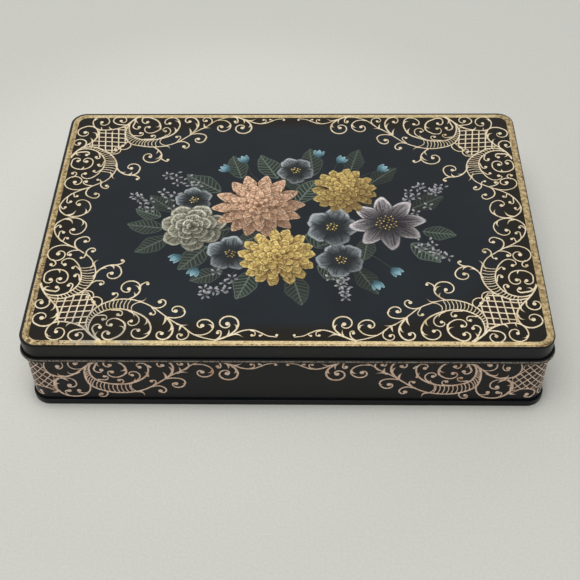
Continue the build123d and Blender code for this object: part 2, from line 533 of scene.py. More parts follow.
# %% [markdown]
# ## The gilt band
# A plain band runs round the lid just inside its edge and over the start of the
# shoulder. It is one closed ring a few hundredths of a millimetre thick. A rounded
# rectangle comes from a flat square whose corners are bevelled, and bridging a few such
# loops in turn gives the ring. The ring ends lower on the shoulder than the gilt does,
# and its finish shows lacquer past the gilt's edge.

# %% Helpers for closed thin pieces
LIFT = 0.03 * MM  # the ink's height in this model, above the lacquer


def rounded_loop(bm, half_length, half_depth, radius, z, segments=10):
    """The edges of a rounded rectangle, from a square with bevelled corners."""
    shape = Matrix.Translation((0, 0, z)) @ Matrix.Diagonal((half_length, half_depth, 1, 1))
    square = bmesh.ops.create_grid(bm, x_segments=1, y_segments=1, size=1.0, matrix=shape)
    made = bmesh.ops.bevel(
        bm, geom=square["verts"], offset=radius, offset_type="OFFSET", segments=segments,
        profile=0.5, affect="VERTICES", material=-1,
    )
    near = made["faces"] + [face for vert in made["verts"] for face in vert.link_faces]
    whole = max(near, key=lambda face: len(face.verts))
    edges = list(whole.edges)
    bmesh.ops.delete(bm, geom=[whole], context="FACES_ONLY")
    return edges


def joined(parts):
    """One bmesh from several, which are freed."""
    whole = bmesh.new()
    for part in parts:
        mesh = bpy.data.meshes.new("part")
        part.to_mesh(mesh)
        part.free()
        whole.from_mesh(mesh)
        bpy.data.meshes.remove(mesh)
    return whole


def finished(name, bm, material, body):
    """Turns a bmesh into a piece that rides on a body."""
    bmesh.ops.recalc_face_normals(bm, faces=bm.faces)
    mesh = bpy.data.meshes.new(name)
    bm.to_mesh(mesh)
    bm.free()
    mesh.materials.append(material)
    piece = bpy.data.objects.new(name, mesh)
    bpy.context.collection.objects.link(piece)
    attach(piece, body)
    print(name, len(mesh.polygons), "faces")
    return piece


# %% Band round the lid
band_inset = 4.2 * MM
band_corner = 4.6 * MM
band_bend = (0, 18, 36, 52)  # degrees round the shoulder
front_back_stretch = 1.009  # the band is narrower at the front and back than at the ends
band_shift = Vector((0.3, -0.75, 0)) * MM  # the print sits a little off the sheet's middle


def gilt_band():
    bm = bmesh.new()
    outside, inside = [], []
    for angle in map(radians, band_bend):
        inset = shoulder_radius * (1 - sin(angle))
        height = lid_top - shoulder_radius * (1 - cos(angle))
        outside.append((inset - LIFT * sin(angle), height + LIFT * cos(angle)))
        inside.append((inset + LIFT * sin(angle), height - LIFT * cos(angle)))
    section = [(band_inset, lid_top + LIFT), *outside, *inside[::-1], (band_inset, lid_top - LIFT)]
    loops = []
    for inset, height in section:
        corner = band_corner if inset == band_inset else skirt_corner - inset
        half_length, half_depth = skirt_half_length - inset, skirt_half_depth - inset
        loops.append(rounded_loop(bm, half_length, half_depth, corner, height))
    inner = list({vert for edge in loops[0] + loops[-1] for vert in edge.verts})
    for first, second in zip(loops, loops[1:] + loops[:1]):
        bmesh.ops.bridge_loops(bm, edges=first + second)
    bmesh.ops.scale(bm, vec=(1, front_back_stretch, 1), verts=inner)
    bmesh.ops.translate(bm, vec=band_shift, verts=inner)
    return finished("lid_gilt_band", bm, BAND_GILT, "lid")


band = gilt_band()
print("largest face", round(max(face.area for face in band.data.polygons) / MM**2), "mm2")

# %% [markdown]
# ## Scrollwork
# The scrolls are strokes that swell, taper and curl round to a ball. One quarter of the
# print is written down here as a painter would follow it, in millimetres from the lid's
# middle, and the other quarters are its mirror images. A curve object with a radius at
# each point gives the swelling, and squashing its round section leaves a thin film. A
# scroll has its stem, the eye that it curls round, the turn and its widths, and a spur
# is a short leaf that springs from one. Both are in the order that the brush takes.

# %% Strokes
def scroll(stem, eye=None, turn=0, ball=1.2, width=0.9, root=1.0, tip=0.8, hold=1.6):
    """Points (x, y, width) along the stem, then round its eye by turn degrees to a ball.
    Root and tip are the widths at its ends. The curl stays open longer when hold is
    higher."""
    points = list(stem)
    if eye:
        reach = Vector(stem[-1]) - Vector(eye)
        steps = max(2, round(abs(turn) / 40))
        for step in range(1, steps + 1):
            t = step / steps
            radius = ball / 2 + (reach.length - ball / 2) * (1 - t**hold)
            angle = atan2(reach.y, reach.x) + radians(turn) * t
            points.append((eye[0] + radius * cos(angle), eye[1] + radius * sin(angle)))
    stroke = []
    for number, (x, y) in enumerate(points):
        t = number / (len(points) - 1)
        end = root if t < 0.5 else tip
        stroke.append((x, y, end + (width - end) * (1 - abs(2 * t - 1))))
    return stroke, (*eye, ball) if eye else None


def spur(points, width=1.2, point=0.06):
    """A stroke that starts wide and runs out to a point."""
    last = len(points) - 1
    stroke = []
    for number, (x, y) in enumerate(points):
        stroke.append((x, y, width * (1 - (number / last) ** 2) + point))
    return stroke, None


# %% One quarter of the lid: half a long side
LONG_TAIL = [
    (59.7, 58.9), (54.9, 63), (50.1, 67.1), (44.8, 70.7), (41, 74.2), (36, 76.5), (30, 78),
]
LONG_RAILS = [
    # front ladder, outer rail and the long tail
    scroll([(82.1, 78.2), (86.3, 73.9), (88.5, 68), (87.5, 62.6), (83.6, 57.6), (77.5, 54.5),
        (71, 54), (65.3, 55.7), *LONG_TAIL], width=1.0, root=1.2, tip=0.9),
    # inner rail and big C
    scroll([(86.9, 73.5), (87.1, 69), (85.9, 65), (83, 62), (79.4, 60.3), (75.3, 59.8), (71, 60.5),
        (66.5, 62.3), (62.6, 65), (60.2, 68.6), (59.5, 72.6), (61, 75.9)], (64.8, 72.3), -190,
        width=1.3),
    # end of the ladder
    scroll([(65.2, 55.6), (67.8, 56.4), (69.4, 58.4), (69.2, 60.4)], width=0.8, root=0.7, tip=0.7),
    spur([(67, 55), (64.6, 55), (63.3, 53)], 1.0),
]

LONG_SIDE = [
    # big spiral
    scroll([(71.2, 68.2), (70.9, 71.3), (72.3, 74.8), (75, 76.9)], (77.8, 74.1), -230, width=1.3,
        root=1.3),
    scroll([(70.9, 71.3), (71.4, 68.5), (72.9, 66.8)], (77.4, 69.3), 205, root=1.3, hold=0.9),
    spur([(71.2, 71.5), (72, 70.4), (73.9, 69.9)]),
    # curl at the foot of the ladder
    scroll([(80.8, 78.3), (83.2, 76), (84.6, 73.2)], (82, 70.6), -150, width=1.2, root=1.2),
    spur([(83.6, 76), (83.4, 74.5), (82.4, 72.9)]),
    scroll([(78.4, 60.5), (75.8, 60.6)], (75, 63.3), -170, 1.1),
    scroll([(84.6, 63.8), (82.3, 63.6)], (81.3, 66), -150, 1.05),
    scroll([(70.6, 60.9), (68.2, 62.4), (66.4, 63.8), (65.2, 66)], (68.6, 67), -215, 1.1,
        hold=1.5),
    spur([(69.6, 61), (68.2, 62.6), (67.4, 64.9)]),
    spur([(61.6, 66), (61.6, 67.8), (62.8, 69.6)], 1.6),
    spur([(59.6, 72.5), (60.6, 74), (62.6, 74.6)], 1.3),
    # tail
    scroll([(60.3, 58.6), (57.4, 59.2), (54.9, 57.8)], (57, 55.5), 145, 1.3, width=1.1, root=0.9,
        hold=1.4),
    scroll([(60.6, 58.4), (59.1, 60.6)], (60.4, 62.7), -125, 1.05, root=0.9),
    scroll([(53, 64.7), (49, 65), (45.6, 63.4)], (49.4, 61), 265, 1.3, width=1.1, hold=1.0),
    spur([(45, 62), (45.3, 61.2), (46.6, 60.9)]),
    scroll([(53.6, 64.4), (50.9, 68.2), (49.7, 72.4), (50.9, 76)], (54.3, 74.1), -235, width=1.3,
        root=1.4, hold=1.4),
    spur([(53.4, 64.4), (53.6, 67), (54.7, 69.6)], 1.8),
    spur([(50.2, 70), (50.6, 71.8), (51.9, 73.4)], 1.5),
    spur([(48.4, 68.4), (46, 69.4), (43, 69)], 1.3),
    spur([(46.4, 69.6), (46.6, 71.2), (47.1, 73.2)], 1.6),
    scroll([(44.6, 71), (42.8, 73.2), (42.7, 75.6), (43.9, 77.1)], (45.7, 75), -205, 1.05),
    scroll([(40.4, 74.8), (36.2, 74.8), (32.9, 72.6), (32, 69.4)], (36.9, 69.5), 285, 1.3,
        width=1.1, root=0.9, hold=0.9),
    spur([(32.3, 70.8), (33, 69.3), (34.7, 68.8)], 1.4),
    scroll([(30.6, 77.8), (28.9, 76.2), (28.3, 74)], (29.8, 73.6), 150, 1.05, root=1.2, hold=2.2),
    # second big C
    scroll([(31, 78.1), (27, 76.4), (23.6, 74), (21.3, 70.6), (21.2, 67.2)], (25.8, 68.4), 345,
        1.4, width=1.2, root=1.4, hold=1.5),
    spur([(21.5, 71), (21.8, 69.6), (22.9, 68.6)], 1.5),
    spur([(25.4, 75.3), (24.9, 73.6), (25, 71.4)], 1.3),
    # end tail
    scroll([(26, 75.9), (22.4, 74.2), (18.6, 72.3), (14.4, 72), (10.8, 73.6), (7.6, 75.4),
        (4.9, 75.8)], (3.9, 74.9), 80, 0.9, root=1.2, tip=0.6),
    spur([(25, 75.3), (21.5, 74.4), (18.4, 76.2)], 1.4),
    scroll([(15.6, 72.2), (13.7, 73), (13.4, 74.4)], (14.8, 75), -60, 0.9, width=0.8),
    scroll([(12.2, 73), (10.4, 74)], (11.2, 75.2), -60, 0.8, width=0.8, root=0.9),
]

DROPS = [
    # hanging from the front ladder
    scroll([(71.6, 54.2), (68.9, 52.3), (66.9, 49.3), (67, 46.2), (68.6, 43.6)], (71.9, 47.6), 275,
        1.3, width=1.1, root=1.2, hold=1.3),
    scroll([(67, 47.6), (66.6, 45.2), (64.9, 43.7)], (63.6, 44.5), -90, 1.05, root=1.3),
    spur([(67, 48.2), (67.9, 46.3), (69.8, 45.3)], 1.3),
    spur([(68.6, 52), (68.8, 50.8), (69.5, 49.3)]),
]
print(len(LONG_RAILS + LONG_SIDE + DROPS), "strokes for half a long side")

# %% Half a short side
SHORT_SIDE = [
    # side ladder: rail towards the edge, with its curl
    scroll([(110.3, 50.3), (106.5, 51.7), (102.1, 51.3), (98.6, 49.2), (96.1, 46.2), (94.9, 42.5),
        (95.1, 38.6), (96.3, 34.6), (98.6, 30.7)], (103.7, 32.3), 175, width=1.1, root=1.2,
        hold=1.2),
    # rail towards the middle
    scroll([(108.7, 52.4), (104.8, 53.5), (100.6, 53.4), (96.8, 51.7), (93, 49.2), (90.4, 45.8),
        (89, 42), (88.5, 38.4), (89.2, 34.6), (90.2, 31.6)], width=1.1, root=1.2, tip=1.0),
    spur([(90, 33), (90, 30.8), (88.3, 29)], 1.1),
    # long tail to the middle of the side
    scroll([(91.4, 34.6), (90.6, 32), (92.4, 28), (95.5, 25.2), (100.3, 21.5), (105.2, 18.6),
        (109.4, 15), (112, 10.7), (112.6, 6.4), (110.6, 2.9), (107, 1), (103, 0.9), (99.9, 2.5),
        (97.7, 5.2)], (103.4, 8.9), -235, 1.3, width=1.1, root=0.9, hold=0.8),
    spur([(108, 1.4), (105.6, 2.4), (104.2, 5.2)], 1.7),
    spur([(99.6, 2.9), (99.2, 4.6), (100.1, 6.6)], 1.4),
    scroll([(112.6, 8.4), (111.6, 6.6)], (109.9, 7), -100, 0.95, root=0.9),
    scroll([(108, 16.8), (109.7, 14.4), (109.7, 11.8)], (107.8, 10.9), -110, 1.05),
    scroll([(107.4, 17.3), (106.8, 15.6)], (105.2, 14.9), -90, 0.95),
    scroll([(99.4, 22.3), (101, 19.4), (100.9, 16.2), (98.6, 14.3)], (96.4, 17), -170, width=1.0,
        root=1.2, hold=1.5),
    scroll([(94, 26.6), (94.9, 24.4), (94, 22.3)], (91.9, 23.6), -170, 1.1, width=1.0, hold=1.4),
    scroll([(98.4, 22.9), (101, 23.1), (103.2, 24.3)], (102.3, 25.9), 110, width=1.0, root=0.9,
        hold=1.2),
    scroll([(94.6, 25.6), (95.2, 26.8)], (96.8, 27.9), -40, 0.95, width=1.0, root=1.2),
    # big ring at the edge
    scroll([(101.8, 20.7), (105.4, 19.6), (109, 20), (111.9, 22), (112.9, 25.2), (111.7, 28.2)],
        (108, 25.3), 265, 1.4, width=1.0, root=0.9),
    scroll([(110, 29), (108.6, 30.4)], (110.2, 32.3), -140, 1.1, root=1.1, hold=1.4),
    # C with two curls
    scroll([(106.5, 35.4), (103.6, 36.1), (101.5, 38.3), (101, 41)], (104.4, 41.4), -230, 1.3,
        width=1.0, root=1.1, hold=1.4),
    scroll([(106.5, 35.4), (109.4, 36), (111.7, 38.2), (111.9, 41)], (108.8, 41.8), 200, width=1.0,
        root=1.1, hold=1.3),
    spur([(106, 35.6), (105.4, 36.6), (105.2, 38)], 1.4),
    # leafy S near the corner piece
    scroll([(112.6, 46), (110, 48.2), (107, 49)], (105.1, 46.7), 135, width=1.5, root=1.2,
        hold=1.3),
    spur([(110.6, 47.8), (110.2, 46.6), (108, 46.4)], 1.3),
    spur([(112.8, 44), (112, 46), (110.2, 48)]),
    # curls on the ladder
    scroll([(98.9, 49.4), (98.1, 46.7)], (99.9, 45.5), 150, 1.1, width=1.0, root=1.1),
    scroll([(95.3, 42.6), (95.9, 39.8)], (97.9, 39.5), 120, 1.1, width=1.0, root=1.1, hold=1.2),
    scroll([(95.8, 36.2), (97.6, 34.1)], (99.6, 34.4), 70, 1.05),
    # tendrils towards the middle
    scroll([(89.4, 40.4), (87, 35.6), (82.8, 32.8), (79, 33), (76.9, 36)], (81.1, 37.8), -240, 1.3,
        width=1.1, root=1.2, hold=1.5),
    scroll([(80.4, 32.6), (77.9, 31.9), (76.4, 30.6)], (77.2, 29.5), 60, 1.05, width=1.0,
        root=1.2),
    spur([(86, 34.8), (84.8, 34.4), (83.5, 35.3)]),
    spur([(81.8, 32.8), (80.8, 33.6), (80.4, 35.6)], 1.6),
]
print(len(SHORT_SIDE), "strokes for half a short side")

# %% The corner
LID_CORNER = [
    # left frame from the edge to the lower scroll
    scroll([(113, 44.8), (110.8, 49.1), (108.3, 52.6), (105.3, 56), (103, 59.2), (101.9, 63),
        (102.3, 66.3), (103.9, 68.9), (107, 70.1), (110.3, 69.2)], (108.8, 65.3), -290, 1.4,
        width=1.3, root=1.4, tip=0.6, hold=1.7),
    spur([(104, 57.4), (104.2, 59.4), (105.8, 61.3)], 1.5),
    spur([(102.2, 62.6), (103, 64.6), (105.3, 65.6)], 1.5),
    scroll([(107, 54.6), (106.9, 57.2), (108.6, 59.2)], (110.4, 56.1), -255, 1.3, width=1.0,
        root=1.2),
    # bottom frame sweeping to the front band
    scroll([(102.6, 67.6), (99.6, 67.4), (96.2, 67.9), (92.2, 69.2), (89, 71.3), (86.4, 74.2),
        (81.6, 78.2)], width=1.3, tip=1.4),
    scroll([(99.4, 67.3), (103.2, 68.4), (105.3, 71.6), (105.2, 75.2), (102.4, 77.8)], (101, 73.3),
        250, width=1.0),
    spur([(105, 74.6), (104.4, 75.6), (102.6, 76)]),
    spur([(95.6, 68.2), (96.6, 69), (97.3, 70.6)], 1.3),
    spur([(100.6, 67.6), (100.8, 68.8), (101.2, 70)], 1.0),
    scroll([(88.4, 71.9), (91, 72), (93.8, 72.7), (95.4, 75), (94.2, 77.6)], (91.6, 75.1), 235,
        width=1.0, root=1.2, hold=2.2),
    # curls at the top right of the trellis
    scroll([(94, 49.8), (91.2, 48.9), (88.6, 49.6), (87.5, 52)], (90.2, 52.5), -160, root=0.9),
    scroll([(88.6, 53.4), (86.4, 52.6), (83.8, 53.8), (83.1, 56.4), (84.6, 58.6)], root=0.9,
        tip=0.9),
    scroll([(88.6, 53.2), (87.8, 54.6)], (86.9, 55.8), 30, width=1.0),
]
print(len(LID_CORNER), "strokes for the corner")

# %% [markdown]
# Between the two rails of each ladder run fine bowed rungs. A painter sets them out by
# eye, bay by bay, so each bay has its two ends here and three rungs that divide it evenly.

# %% Ladder rungs
def rungs(feet, heads, bow, in_a_bay=3, width=0.7):
    """Rungs from the line of feet to the line of heads, bowed by a share of their length."""
    made = []
    for number in range(in_a_bay * (len(feet) - 1) + 1):
        bay, share = divmod(number / in_a_bay, 1)
        bay = int(bay)
        start = Vector(feet[bay]).lerp(Vector(feet[min(bay + 1, len(feet) - 1)]), share)
        end = Vector(heads[bay]).lerp(Vector(heads[min(bay + 1, len(heads) - 1)]), share)
        middle = start.lerp(end, 0.5) + (end - start).orthogonal() * bow
        made.append(([(*start, width), (*middle, width), (*end, width)], None))
    return made


LONG_LADDER = rungs(
    feet=[(71, 60.2), (76, 60), (79.8, 60.7), (83.3, 62.7), (85.8, 65.5), (86.8, 69.2)],
    heads=[(70.2, 54.4), (75.8, 54.6), (81.4, 56.4), (85.8, 60.2), (88, 64.2), (88.5, 69)],
    bow=0.10,
)
SHORT_LADDER = rungs(
    feet=[(96, 34.6), (95, 39.2), (95, 43), (96.5, 47.2), (99.8, 50.4), (103.6, 51.5)],
    heads=[(90, 33.2), (88.8, 39.4), (89.6, 43.9), (92.6, 49.4), (97.5, 52.4), (103.3, 53.6)],
    bow=-0.08,
)


# %% [markdown]
# The walls carry much of the same print turned over: what lies along the edge of the lid
# lies along the top of the wall. On the long sides the rails and the ladder run on
# further, so they are written anew, and the corners have a piece of their own.

# %% What the walls have of their own
WALL_RAILS = [
    scroll([(85, 76), (87.6, 73.8), (89.3, 70.8), (89.9, 67.4), (89.8, 63.4), (88.6, 59.4),
        (86, 56.7), (82.4, 54.8), (78.4, 53.7), (74.4, 53.5), (70.4, 53.9), (65.4, 55.3),
        *LONG_TAIL], width=1.1, root=1.4, tip=0.9),
    scroll([(84.6, 76.2), (87, 73), (87.6, 69.4), (87, 65.6), (85, 62.7), (81.6, 60.8),
        (77.6, 59.8), (73.2, 59.8), (69, 60.9), (65.2, 63.1), (62.3, 66.2), (61, 69.8),
        (61.3, 73.6)], (64.6, 72.2), -150, width=1.3, root=1.2),
    scroll([(69.4, 60.6), (70.1, 58.4), (69.7, 56.3), (68.2, 54.6)], width=0.7, root=0.5),
    spur([(67.6, 54.4), (65.4, 53.8), (64.5, 50.9)], 1.5),
    scroll([(82, 55), (81.5, 53.2), (82.1, 51.4)], (84.4, 52.5), 165, 1.15),
]
WALL_LADDER = rungs(
    feet=[(70.4, 60.4), (76.2, 59.7), (81.6, 60.8), (85.6, 63.1), (87.3, 67), (87.6, 71)],
    heads=[(69.6, 54), (75.6, 53.5), (82.2, 54.8), (87.6, 58.2), (89.8, 63.4), (89.8, 68.6)],
    bow=0.10,
)
WALL_CORNER = [
    # arm from the ladder to the trellis
    scroll([(83.6, 76), (86.9, 74), (89.4, 72), (91.8, 69.6), (94.4, 67.2), (97.4, 65.6),
        (100.4, 65.2), (103.2, 65.6), (105.4, 67), (107, 69.6), (107.4, 72.8), (106.6, 76)],
        width=1.2, root=1.2),
    spur([(92, 68.8), (94.6, 67.2), (96.6, 67.2), (97.6, 69.2)], 1.5),
    spur([(99.4, 65.4), (101.5, 66), (102.3, 67.8)]),
    # hooks that hang from the top edge
    scroll([(99.2, 75.4), (98.9, 73), (99.7, 71.3)], (101.4, 72.4), 110, 1.3, root=0.5),
    scroll([(90.4, 71.2), (93.2, 70.6), (95.5, 71.6), (96.4, 73.6), (96, 75.8)], root=0.5),
    scroll([(91.8, 76.4), (92, 75.2)], (93.2, 74.4), 40, 1.25, root=0.5),
    # curl under the arm
    scroll([(103, 65.2), (100.2, 64.3), (97.2, 63.9), (95.3, 62.3), (94.8, 59.9), (95.8, 58),
        (97.5, 57.5)], (98.1, 58.9), 120, 1.25, width=1.0, root=0.5),
    spur([(101.4, 64.6), (99.4, 63.4), (97.9, 61.8)], 1.7),
    # leafy bow round the bottom
    scroll([(102, 64.2), (104.2, 62), (105, 59.3), (104.8, 56.7), (103.6, 54.4), (101.2, 51.9),
        (98.2, 50.7), (95, 50.7), (92, 51.9), (90, 54), (88.9, 56.6), (88.8, 59.2), (89.6, 61.6)],
        width=1.1, root=1.7, tip=0.9),
    spur([(104.4, 61.8), (104.5, 58.4), (103.8, 55)], 2.2),
    spur([(105, 58.2), (103.8, 60), (102.3, 60)], 1.6),
    spur([(103.2, 55.2), (105, 53.9), (107.5, 53.5)], 2.0),
    scroll([(99.4, 51.3), (100.7, 53), (100.2, 54.9)], (98.8, 54.8), -80, root=0.5),
    scroll([(90.4, 53.6), (92.4, 53), (94, 53.4)], (94.4, 54.9), 60, width=1.0, root=0.5),
    # curl below the trellis
    scroll([(104.6, 54.6), (106.2, 55.4), (108.6, 57.1), (111.8, 57.7), (114.6, 56.8),
        (115.8, 54.6), (115, 52.4), (113, 51.5), (111.2, 52.4)], (112.2, 53.7), 60, width=1.1,
        root=0.5),
]
print(len(WALL_LADDER), "rungs,", len(WALL_CORNER), "corner strokes")


# %% [markdown]
# A set of strokes becomes one closed mesh: curves for the stems, squashed spheres for the
# balls. The lower half of every stroke lies within the sheet, so nothing hangs above it.

# %% From strokes to thin meshes
FLATNESS = 0.07  # height of a stroke as a share of its width


def moved(strokes, place, slender=1.0):
    """The same strokes with every point carried to another place, and made slender."""
    return [
        (
            [(*place(x, y), width * slender) for x, y, width in points],
            ball and (*place(*ball[:2]), ball[2] * slender),
        )
        for points, ball in strokes
    ]


def stroke_mesh(name, strokes):
    """A bmesh of flat strokes in metres, from strokes in millimetres."""
    curve = bpy.data.curves.new(name, "CURVE")
    curve.dimensions = "3D"
    curve.twist_mode = "Z_UP"
    curve.bevel_depth = 1.0
    curve.bevel_resolution = 1
    curve.resolution_u = 4
    curve.use_fill_caps = True
    for points, _ in strokes:
        spline = curve.splines.new("BEZIER")
        spline.bezier_points.add(len(points) - 1)
        for knot, (x, y, width) in zip(spline.bezier_points, points):
            knot.co = (x * MM, y * MM, 0)
            knot.radius = width / 2 * MM
            knot.handle_left_type = knot.handle_right_type = "AUTO"
    holder = bpy.data.objects.new(name, curve)
    bpy.context.collection.objects.link(holder)
    solid = holder.evaluated_get(bpy.context.evaluated_depsgraph_get())
    stems = bmesh.new()
    stems.from_mesh(bpy.data.meshes.new_from_object(solid))
    bpy.data.objects.remove(holder)
    parts = [stems]
    for _, ball in strokes:
        if ball:
            x, y, radius = (value * MM for value in ball)
            parts.append(bmesh.new())
            bmesh.ops.create_uvsphere(
                parts[-1], u_segments=12, v_segments=6, radius=radius,
                matrix=Matrix.Translation((x, y, 0)),
            )
    bm = joined(parts)
    bmesh.ops.scale(bm, vec=(1, 1, 2 * FLATNESS), verts=bm.verts)
    return bm


# %% [markdown]
# The four quarters of the lid were drawn by hand and aren't quite alike. The front left
# is as written above. The others are its mirror images with some places pulled by a
# few millimetres, and without two small curls. A pull carries its own surroundings along,
# and one of 0 holds them where they are.

# %% The four quarters of the lid
FRONT_LEFT_CURLS = [
    scroll([(79.7, 55.4), (77.6, 53.4)], (78.6, 50.7), 130, 1.1, hold=1.4),
    scroll([(89.8, 44.4), (88, 42.8), (85.9, 42.6)], (85.2, 44.7), -140, 1.1),
]
SLENDER = {-1: 0.77, 1: 0.72}  # share of the written widths, on the lid's left and right
PULL_SOFTNESS = 0.3  # square mm, added so that no pull is endless at its own spot
# Each quarter has the signs of its X and Y, then its pulls: x, y and how far in x and y.
QUARTERS = {
    "front_left": (-1, -1, []),
    "front_right": (1, -1, [
        (77.2, 29.4, 2.7, 0.4), (57.1, 55.5, -1.6, 0), (81.1, 37.8, 0, 0), (63.6, 44.5, 0, 0),
        (60.4, 62.7, 0, 0), (68, 56, 0, 0), (49, 61, 0, 0), (92, 30, 0, 0),
    ]),
    "back_left": (-1, 1, [
        (108.8, 41.8, 0, -0.3), (81.1, 37.8, -0.4, -2), (71.9, 47.6, 0.1, -2.7),
        (63.6, 44.5, -0.9, -2.1), (75, 54, 0, -0.9), (90.3, 52.4, 0.5, -1.9),
        (86.9, 55.7, 0.4, -2.1), (78, 69.3, -2.2, -0.3), (77.8, 74.1, -1.4, -0.8),
        (64.9, 72.3, -0.3, -0.2), (68.8, 66.9, -2.4, -1.4), (60.4, 62.7, -0.6, -1.9),
        (57.1, 55.5, -1.6, -2.5), (81.3, 65.9, -2.1, -2), (75.1, 63.3, -2.1, -1.6),
        (82.1, 70.5, -1.6, -1.6), (104, 78, 0, 0), (82, 78, 0, 0), (60, 78, 0, 0), (113, 46, 0, 0),
        (108, 20, 0, 0), (30, 76, 0, 0), (5, 76, 0, 0),
    ]),
    "back_right": (1, 1, [
        (108.8, 41.8, 1.4, -2.2), (104.4, 41.3, 1.4, -2.8), (110.4, 56.1, 0.7, -2.1),
        (108.8, 65.3, 0.4, -1.8), (90.3, 52.4, 0.8, -3.8), (75, 54, 0, -2.5),
        (101, 73.2, 0.1, -1.4), (91.6, 75.1, 0.1, -1.4), (64.9, 72.3, 0, -1.1),
        (77.8, 74.1, -0.4, -2.3), (78, 69.3, -0.6, -1.8), (82.1, 70.5, -0.3, -2.5),
        (81.3, 65.9, -0.6, -3.6), (75.1, 63.3, 0, -2.5), (68.8, 66.9, -0.5, -2.1),
        (60.4, 62.7, -0.3, -2.8), (57.1, 55.5, -0.3, -3.8), (71.9, 47.6, 0.9, -3.8),
        (63.6, 44.5, -0.6, -3.1), (81.1, 37.8, 0.8, -3.4), (104, 78, 0, -0.5), (82, 78, 0, -0.5),
        (60, 78, 0, 0), (113, 46, 0, -1), (108, 20, 0, 0), (30, 76, 0, 0), (5, 76, 0, 0),
    ]),
}


def quarter_place(side, end, pulls):
    """Carries a place of the written quarter to its place in another quarter. There each
    pull weighs as much as it is near."""
    def place(x, y):
        near = [
            1 / (PULL_SOFTNESS + (x - pull[0]) ** 2 + (y - pull[1]) ** 2) ** 1.5 for pull in pulls
        ]
        pull_x = sum(weight * pull[2] for weight, pull in zip(near, pulls)) / max(sum(near), 1e-9)
        pull_y = sum(weight * pull[3] for weight, pull in zip(near, pulls)) / max(sum(near), 1e-9)
        return side * (x + pull_x), end * (y + pull_y)
    return place


def on_quarter(strokes, quarter):
    return moved(strokes, quarter_place(*QUARTERS[quarter]), SLENDER[QUARTERS[quarter][0]])


def on_all_quarters(strokes):
    return [stroke for quarter in QUARTERS for stroke in on_quarter(strokes, quarter)]


def on_lid(name, bm, material):
    bmesh.ops.translate(bm, vec=(0, 0, lid_top), verts=bm.verts)
    return finished(name, bm, material, "lid")


# %% Scrolls on the lid
for name, strokes in (
    ("lid_scrolls_long_sides", on_all_quarters(LONG_RAILS + LONG_SIDE + DROPS)),
    ("lid_scrolls_short_sides", on_all_quarters(SHORT_SIDE)),
    ("lid_scrolls_corners", on_all_quarters(LID_CORNER)),
    ("lid_curls_front_left", on_quarter(FRONT_LEFT_CURLS, "front_left")),
    ("lid_ladders", on_all_quarters(LONG_LADDER + SHORT_LADDER)),
):
    on_lid(name, stroke_mesh(name, strokes), LID_GILT)


# %% [markdown]
# ## Trellis
# In each corner of the lid a net of fine bars covers a brown ground. The ground is one
# flat piece. Cutting it along both families of bars, drawing every cell's edge inwards
# and taking the cells out leaves the net. Slivers of cells at the rim have no room for
# their bars, so they go first, and points that nearly meet are merged before the net
# gets its thickness, because Solidify throws the corner of a needle-thin face far away.

# %% Trellis on the lid
TRELLIS_GROUND = (0.018, 0.0085, 0.0045)
GROUND_THICKNESS, NET_THICKNESS = 0.04 * MM, 0.08 * MM
SLIVER = 0.3  # area of the smallest cell that is kept, as a share of its rim times a bar
MERGE = 0.03 * MM
PLATE_FOOT = -0.01 * MM  # within the sheet
BAR_SLOPES = (4.5, 83.2)  # degrees, in the written quarter


def ground_finish(name, colour):
    finish = Finish(name, IOR=1.36)
    mottle = finish.place.noise(0.8, detail=3.0)
    dark = tuple(value * 0.5 for value in colour)
    finish.feed(Base_Color=mottle.rise(0.3, 0.7).mix(dark, colour), Roughness=0.3 + mottle * 0.15)
    return finish.material


def flat_plate(outline):
    """One flat face through an outline in millimetres. It looks down, so that Solidify
    thickens it upwards."""
    bm = bmesh.new()
    corners = [
        bmesh.ops.create_vert(bm, co=(x * MM, y * MM, PLATE_FOOT))["vert"][0] for x, y in outline
    ]
    bmesh.ops.contextual_create(bm, geom=corners)
    bmesh.ops.contextual_create(bm, geom=bm.verts[:])
    bm.normal_update()
    for face in bm.faces:
        if face.normal.z > 0:
            face.normal_flip()
    return bm


def everything(bm):
    return bm.verts[:] + bm.edges[:] + bm.faces[:]


def cut_in_rows(bm, slope_degrees, spacing, middle):
    """Cuts all faces along parallel lines at a slope from the X axis."""
    across = Vector((-sin(radians(slope_degrees)), cos(radians(slope_degrees)), 0))
    reach = ceil(max((vert.co / MM - middle).length for vert in bm.verts) / spacing)
    for row in range(-reach, reach + 1):
        spot = (middle + across * (row + 0.5) * spacing) * MM
        bmesh.ops.bisect_plane(
            bm, geom=everything(bm), dist=1e-7, plane_co=spot, plane_no=across
        )


def netting(outline, slopes, spacing, bar, step=None):
    """A closed net of bars within an outline, cut every step for bending. All in mm."""
    bm = flat_plate(outline)
    middle = sum((vert.co / MM for vert in bm.verts), Vector()) / len(bm.verts)
    for slope in slopes:
        cut_in_rows(bm, slope, spacing, middle)
    least = SLIVER * bar * MM
    slivers = [face for face in bm.faces if face.calc_area() < least * face.calc_perimeter()]
    bmesh.ops.delete(bm, geom=slivers, context="FACES")
    cells = bm.faces[:]
    bmesh.ops.inset_individual(bm, faces=cells, thickness=bar / 2 * MM, use_even_offset=True)
    bmesh.ops.delete(bm, geom=cells, context="FACES")
    if step:
        cut_in_rows(bm, 90, step, middle)
    bmesh.ops.remove_doubles(bm, verts=bm.verts[:], dist=MERGE)
    bmesh.ops.solidify(bm, geom=bm.faces[:], thickness=NET_THICKNESS)
    return bm


